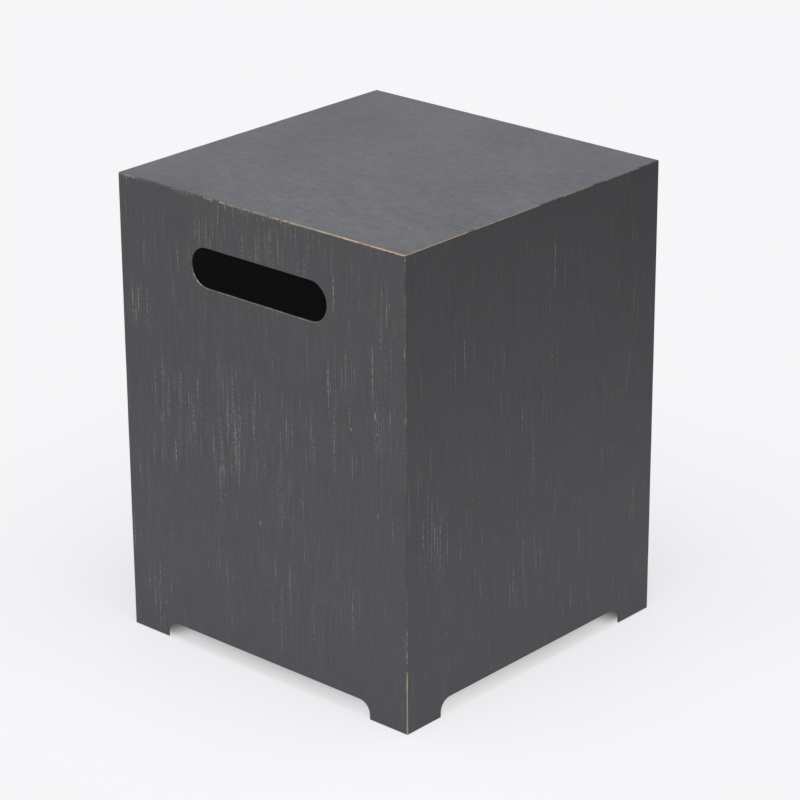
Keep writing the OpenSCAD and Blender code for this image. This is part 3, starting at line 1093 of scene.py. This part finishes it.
def bare_edges(made):
    """How bare the edges are, and the colour of the bronze on them."""
    jag = made.strokes(600, 60, detail=3.0, roughness=0.6, shift=51)
    crumbs = made.noise((330, 330, 330), detail=1.0, shift=71).rise(0.42, 0.54)
    gaps = made.noise((55, 55, 55), detail=3.0, shift=61)
    seen_edge = (made.steps(made.x, -HALF_W, HALF_W, WORN_FRONT) * made.on_front
                 + made.steps(made.y, -HALF_D, HALF_D, WORN_RIGHT) * made.on_side)
    edge = seen_edge * (1.0 - made.unseen) + 0.8 * made.unseen * gaps.rise(0.46, 0.56)
    near_corner = made.x.rise(0.02, 0.09) * made.on_front
    clean = near_corner * (1.0 - made.from_top.rise(6 * MM, 12 * MM))
    ragged = made.on_front - clean
    drips = (jag - 0.53).most(0.0) * ragged * DRIP_LENGTH
    drop = 0.9 * MM + (1.0 * made.on_front - 0.5 * clean) * MM + 2.5 * MM * (jag - 0.5) + drips
    edge = edge * (1.0 - ragged * (1.0 - crumbs) * 0.8)
    worn = (edge * (1.0 - made.from_top.rise(drop - 0.3 * MM, drop + 0.3 * MM))
            * (1.0 - made.near_wall.rise(0.3 * MM, 0.8 * MM)))
    if not made.on_top:
        worn = worn.most(worn_corner(made, jag, crumbs)).most(worn_rim(made, gaps, crumbs))
    bronze = made.mix(gaps.rise(0.40, 0.60) * (0.3 + 0.7 * clean), BRONZE_DULL, BRONZE_CLEAN)
    return worn, bronze


def worn_corner(made, jag, crumbs):
    """Wear down the upright corners, firm at the foot and crumbling above it."""
    firm = 1.0 - made.z.rise(*FIRM_TOP)
    strength = made.steps(made.z, 0.0, HEIGHT, WORN_CORNER) * (0.15 + 0.85 * crumbs.most(firm))
    reach = (0.25 + 0.35 * firm) * MM + (jag - 0.45).most(0.0) * 3.0 * MM
    return strength * (1.0 - made.far_wall.rise(reach, reach + 0.4 * MM))


def worn_rim(made, gaps, crumbs):
    """Wear round the slots, from the distance to their rounded outline."""
    past = (abs(made.x) - SLOT_STRAIGHT).most(0.0)
    up = made.z - SLOT_Z
    rim = (past.squared() + up.squared()).root() - SLOT_H / 2
    low_rim = 1.0 - 0.6 * up.rise(-6 * MM, 14 * MM)
    chipped = (0.45 + 0.55 * gaps.rise(0.42, 0.56)) * (0.3 + 0.7 * crumbs)
    return low_rim * chipped * (1.0 - rim.rise(0.05 * MM, 0.45 * MM)) * made.on_front


# %% [markdown]
# Walls and top follow one recipe: the grey coat, the threads over it, then the bare edges. Paint
# wraps the cut edges and ends short of the inner face, which only has primer.

# %% Distressed paint
PRIMER = (0.250, 0.251, 0.270, 1.0)
PAINT_ROUGHNESS = 0.42
PAINT_RELIEF = 0.04 * MM
THREAD_COVER = 0.75


def distressed_paint(name, on_top):
    """Grey coat, threads and bare edges, with the primer on the inside of the sheet."""
    made = Paint(name, on_top)
    grey, shine, relief = grey_coat(made)
    threads, thread_colour = bronze_threads(made)
    worn, bronze = bare_edges(made)
    colour = made.mix(threads * THREAD_COVER, grey, thread_colour)
    colour = made.mix(worn, colour, bronze)
    made.feed("Base Color", made.mix(made.inside, colour, PRIMER))
    made.feed("Metallic", (worn * 0.5).least(1.0) * (1.0 - made.inside))
    made.feed("Roughness", PAINT_ROUGHNESS + shine + 0.12 * made.inside)
    made.bump(relief - 0.4 * threads - 0.6 * worn, PAINT_RELIEF)
    return made.material


wall_paint = distressed_paint("distressed_paint_walls", False)
top_paint = distressed_paint("distressed_paint_top", True)
for paint in (wall_paint, top_paint):
    print(f"{paint.name}: {len(paint.node_tree.nodes)} nodes")


def dress(pieces, material):
    """Gives pieces their material."""
    for piece in pieces:
        piece.data.materials.clear()
        piece.data.materials.append(material)
    print(f"{material.name} on {len(pieces)} pieces")


dress(wall_sheets, wall_paint)
dress([top_sheet], top_paint)

# %% [markdown]
# ## Primer, weld and nylon
# Inside, the frame only has its matt grey primer, with the faint dust that settles in it. The
# welds are primed too, over a face that heat has left rough. The glides are moulded nylon.

# %% Plainer finishes
PRIMER_IOR = 1.45
NYLON_IOR = 1.53
DUST = (0.310, 0.300, 0.285, 1.0)
SOOT = (0.190, 0.185, 0.178, 1.0)
NYLON = (0.010, 0.010, 0.011, 1.0)
NYLON_RUBBED = (0.07, 0.07, 0.07, 1.0)


def primer_finish():
    """Matt grey primer with settled dust."""
    made = Finish("grey_primer", {"IOR": PRIMER_IOR})
    fine = made.noise((900, 900, 900), detail=2.0)
    dust = made.noise((25, 25, 25), detail=4.0, shift=7)
    made.feed("Base Color", made.mix(dust.rise(0.45, 0.8), PRIMER, DUST))
    made.feed("Roughness", 0.55 + 0.2 * (dust - 0.5))
    made.bump(fine, 0.02 * MM)
    return made.material


def weld_finish():
    """The same primer over a rough and sooty bead."""
    made = Finish("primed_weld", {"IOR": PRIMER_IOR})
    grain = made.noise((1400, 1400, 1400), detail=3.0)
    soot = made.noise((300, 300, 300), detail=3.0, shift=11)
    made.feed("Base Color", made.mix(soot, PRIMER, SOOT))
    made.feed("Roughness", 0.42 + 0.25 * (soot - 0.5))
    made.bump(grain, 0.05 * MM)
    return made.material


def nylon_finish():
    """Black nylon, rubbed paler on the soles."""
    made = Finish("moulded_nylon", {"IOR": NYLON_IOR})
    grain = made.noise((1600, 1600, 1600), detail=2.0)
    scuffs = made.noise((420, 60, 420), detail=3.0, shift=13)
    sole = 1.0 - made.z.rise(0.0, 0.4 * MM)
    rubbed = scuffs.rise(0.5, 0.75) * sole
    made.feed("Base Color", made.mix(rubbed, NYLON, NYLON_RUBBED))
    made.feed("Roughness", 0.38 + 0.3 * rubbed)
    made.bump(grain, 0.015 * MM)
    return made.material


dress([*uprights, *top_bars, brace, *foot_plates], primer_finish())
dress([weld_beads], weld_finish())
dress(glides, nylon_finish())

# %% [markdown]
# ## Floor, light and camera
# A pale floor under large softboxes, as in a studio. They light the floor most around the holder,
# and the dark walls mirror that pool of light, so they turn lighter towards the floor. The camera
# also sees the floor glow in the colour of the backdrop, more of it the farther from the holder:
# that keeps the backdrop even and the soft shadow in place, and lights nothing. Close to the walls
# the mirrors see that glow too, a painted pool of light that makes the walls lighter near the
# floor.
# Under the holder the glow is painted light that fades, least towards the front right corner, where
# most light comes in, and right behind the feet the floor's colour is a painted shadow.

# %% Floor
def rgb(red, green, blue):
    """Linear colour of three sRGB values from 0 to 255."""
    share = np.array([red, green, blue]) / 255
    linear = np.where(share > 0.04045, ((share + 0.055) / 1.055) ** 2.4, share / 12.92)
    return (*linear.tolist(), 1.0)


BACKDROP = rgb(246, 246, 248)
FLOOR_COLOUR = (0.835, 0.835, 0.845, 1.0)
# Colour of the painted shadow on the floor right behind the feet.
FLOOR_PAINTED_SHADOW = (0.10, 0.10, 0.10, 1.0)
FLOOR_HALF = 30.0
GLOW_UNDER = 0.25
GLOW_CORNER = 0.46
GLOW_NEAR = 0.72
GLOW_EXTRA = 0.07
# Where each share of the floor's looks rises, in metres beyond the walls unless it says otherwise.
SHADE_IN = (0.128, 0.175)  # from the middle planes, towards a corner
SHADE_OUT = (-0.014, -0.001)
CORNER_RISE = (0.12, 0.36)  # X less Y, towards the front right corner
MIDDLE_RISE = (-0.100, -0.050)
NEAR_RISE = (-0.050, -0.006)
EXTRA_FADE = (-0.004, 0.004)
FAR_RISE = (0.05, 0.60)
MIRROR_FADE = (0.05, 0.50)
SHADE_GLOW_LOSS = 0.9


def floor_finish():
    """Pale floor with a glow that only the camera and mirrors see."""
    made = Finish("pale_floor", {"Roughness": 0.9})
    beyond = (abs(made.x) - HALF_W).most(abs(made.y) - HALF_D)
    # Painted shadow: right behind the feet the floor's colour turns dark, where the holder's shade
    # falls.
    shade = abs(made.x).least(abs(made.y)).rise(*SHADE_IN) * (1.0 - beyond.rise(*SHADE_OUT))
    made.feed("Base Color", made.mix(shade, FLOOR_COLOUR, FLOOR_PAINTED_SHADOW))
    # Painted light: under the holder and along the walls the camera's glow lifts the shade, most
    # towards the front right corner.
    corner = (made.x - made.y).rise(*CORNER_RISE)
    under = GLOW_UNDER + (GLOW_CORNER - GLOW_UNDER) * corner
    at_wall = GLOW_NEAR + GLOW_EXTRA * corner * (1.0 - beyond.rise(*EXTRA_FADE))
    near = under + (at_wall - under) * beyond.rise(*NEAR_RISE)
    near = near * (1.0 - SHADE_GLOW_LOSS * shade) * beyond.rise(*MIDDLE_RISE)
    shown = near + (1.0 - GLOW_NEAR) * beyond.rise(*FAR_RISE)
    # Painted light: a glow that mirrors see only near the holder, a painted pool of light reflected
    # low on the walls.
    mirrored_painted_glow = near * (1.0 - beyond.rise(*MIRROR_FADE))
    camera_ray, glossy_ray, transmission_ray = made.rays(
        "Is Camera Ray", "Is Glossy Ray", "Is Transmission Ray")
    share = camera_ray * shown + (glossy_ray + transmission_ray).least(1.0) * mirrored_painted_glow
    glow = made.node("ShaderNodeEmission", {}, {"Color": BACKDROP, "Strength": 1.0})
    both = made.node("ShaderNodeMixShader", {}, {
        0: share, 1: made.shader.outputs[0], 2: glow.outputs[0]})
    made.tree.links.new(both.outputs[0], made.output.inputs[0])
    return made.material


floor_mesh = bpy.data.meshes.new("floor")
floor_corners = [(-FLOOR_HALF, -FLOOR_HALF, 0), (FLOOR_HALF, -FLOOR_HALF, 0),
                 (FLOOR_HALF, FLOOR_HALF, 0), (-FLOOR_HALF, FLOOR_HALF, 0)]
floor_mesh.from_pydata(floor_corners, [], [(0, 1, 2, 3)])
floor_mesh.materials.append(floor_finish())
floor = bpy.data.objects.new("floor", floor_mesh)
bpy.context.scene.collection.objects.link(floor)
print(f"floor: {2 * FLOOR_HALF:.0f} m across")

# %% Light
WORLD_STRENGTH = 0.10
MILD = (0.965, 0.965, 1.0)
COOL = (0.935, 0.965, 1.0)
# Each softbox: its name, place, the point it faces, its size in metres, its watts and its colour.
SOFTBOXES = [
    ("overhead_softbox", (0.3, -0.3, 2.0), (0.0, 0.0, 0.4), 1.6, 52.5, MILD),
    ("back_softbox", (-2.0, 2.2, 1.4), (0.0, 0.0, 0.5), 2.4, 13.0, COOL),
    ("left_strip", (-1.8, -1.8, 0.45), (0.0, 0.0, 0.1), 0.8, 4.4, MILD),
    ("front_strip", (-0.3, -2.6, 0.5), (0.0, 0.0, 0.2), 0.9, 10.5, MILD),
]


def aimed(position, target):
    """Matrix that puts a lamp in a place, its -Z towards a target."""
    place = np.array(position, float)
    back = place - target
    back = back / np.linalg.norm(back)
    right = np.cross(Z, back)
    right = right / np.linalg.norm(right)
    columns = np.column_stack([right, np.cross(back, right), back, place])
    return Matrix([*columns.tolist(), [0, 0, 0, 1]])


world = bpy.data.worlds.new("studio")
sky = Net(world)
dim = sky.node("ShaderNodeBackground", {}, {"Color": BACKDROP, "Strength": WORLD_STRENGTH})
plain = sky.node("ShaderNodeBackground", {}, {"Color": BACKDROP, "Strength": 1.0})
shown = sky.node("ShaderNodeMixShader", {}, {
    0: sky.rays("Is Camera Ray")[0], 1: dim.outputs[0], 2: plain.outputs[0]})
sky.node("ShaderNodeOutputWorld", {}, {0: shown.outputs[0]})
bpy.context.scene.world = world

for name, position, target, size, power, colour in SOFTBOXES:
    lamp = bpy.data.lights.new(name, "AREA")
    lamp.shape = "SQUARE"
    lamp.size = size
    lamp.energy = power
    lamp.color = colour
    softbox = bpy.data.objects.new(name, lamp)
    softbox.matrix_world = aimed(position, target)
    softbox.visible_camera = False
    bpy.context.scene.collection.objects.link(softbox)
    print(f"{name}: {size} m, {power} W")

# %% Camera
LENS = 142.117
SENSOR = 36.0
CAMERA_AT = (2.1108, -2.3360, 1.5248)
AZIMUTH = math.radians(41.93)
ELEVATION = math.radians(21.941)
ROLL = math.radians(-0.317)

camera_data = bpy.data.cameras.new("camera")
camera_data.lens = LENS
camera_data.sensor_width = SENSOR
camera = bpy.data.objects.new("camera", camera_data)
camera.matrix_world = (
    Matrix.Translation(CAMERA_AT)
    @ Matrix.Rotation(AZIMUTH, 4, "Z")
    @ Matrix.Rotation(math.pi / 2 - ELEVATION, 4, "X")
    @ Matrix.Rotation(ROLL, 4, "Z")
)
bpy.context.scene.collection.objects.link(camera)
bpy.context.scene.camera = camera
bpy.context.scene.view_settings.view_transform = "Standard"
print(f"camera: {LENS:.0f} mm lens, {math.dist(CAMERA_AT, (0, 0, HEIGHT / 2)):.2f} m away")
